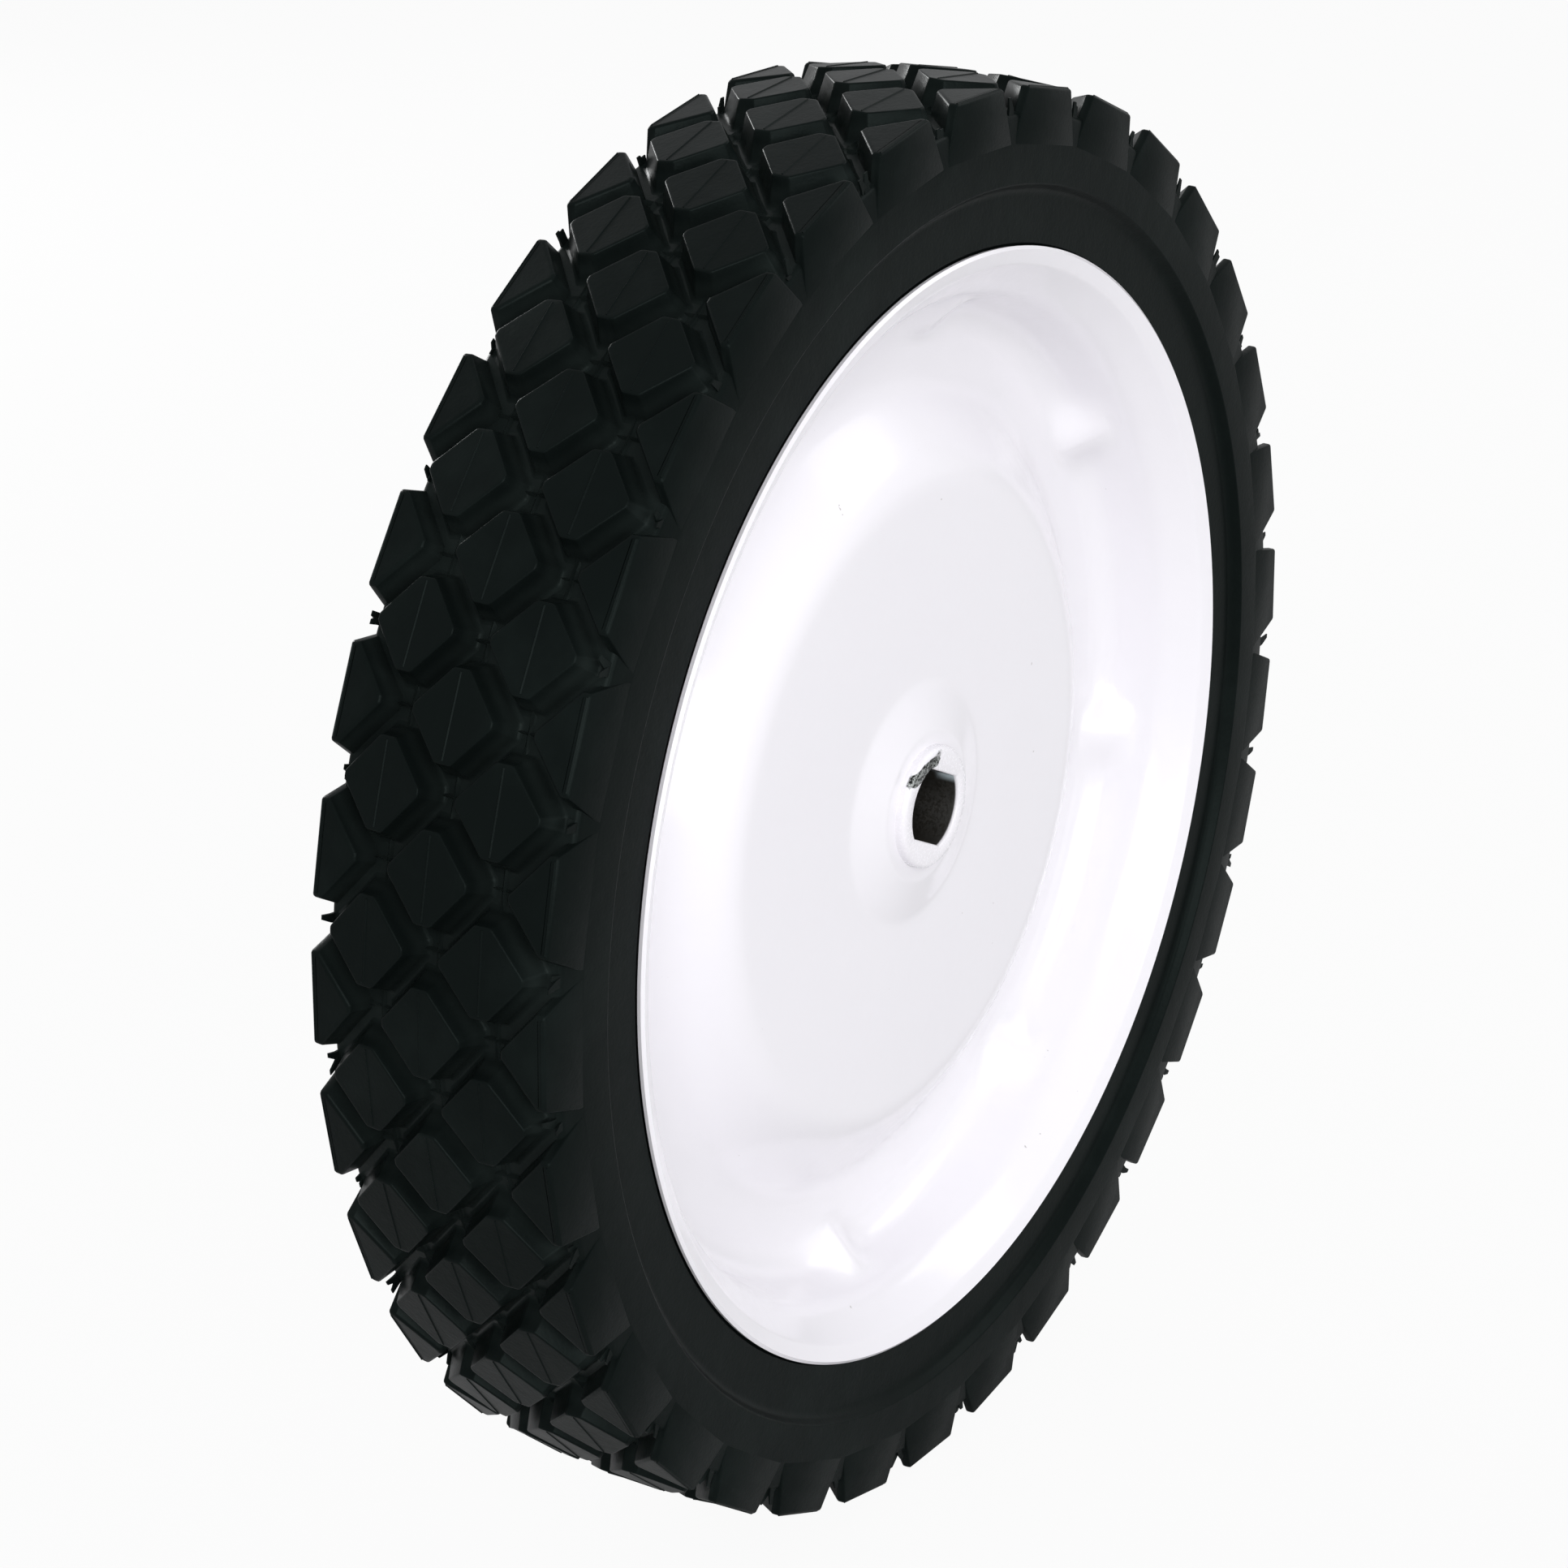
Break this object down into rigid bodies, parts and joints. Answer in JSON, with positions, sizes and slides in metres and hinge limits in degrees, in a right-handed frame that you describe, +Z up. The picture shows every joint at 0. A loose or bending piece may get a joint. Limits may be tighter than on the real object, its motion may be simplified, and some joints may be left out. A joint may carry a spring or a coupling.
{
  "type": "lawn mower wheel",
  "caption": "Lawn mower wheel: diamond-tread rubber tyre held between two pressed, white-enamelled steel discs, with a hub tube and a double-D axle hole.",
  "frame": {"origin": "centre of the wheel, on the axle's axis half-way across the tyre", "axes": "axle along Y with the face seen in the picture towards -Y, +Z up, +X forward"},
  "size_m": [0.2544, 0.0438, 0.2543],
  "materials": {
    "tyre_rubber": "matt moulded black rubber",
    "white_enamel": "gloss",
    "hub_steel": "worn bare metal under white enamel"
  },
  "bodies": {
    "root": {"tyre": "tyre_rubber", "outer_disc": "white_enamel", "inner_disc": "white_enamel", "hub_tube": "hub_steel"}
  },
  "joints": []
}
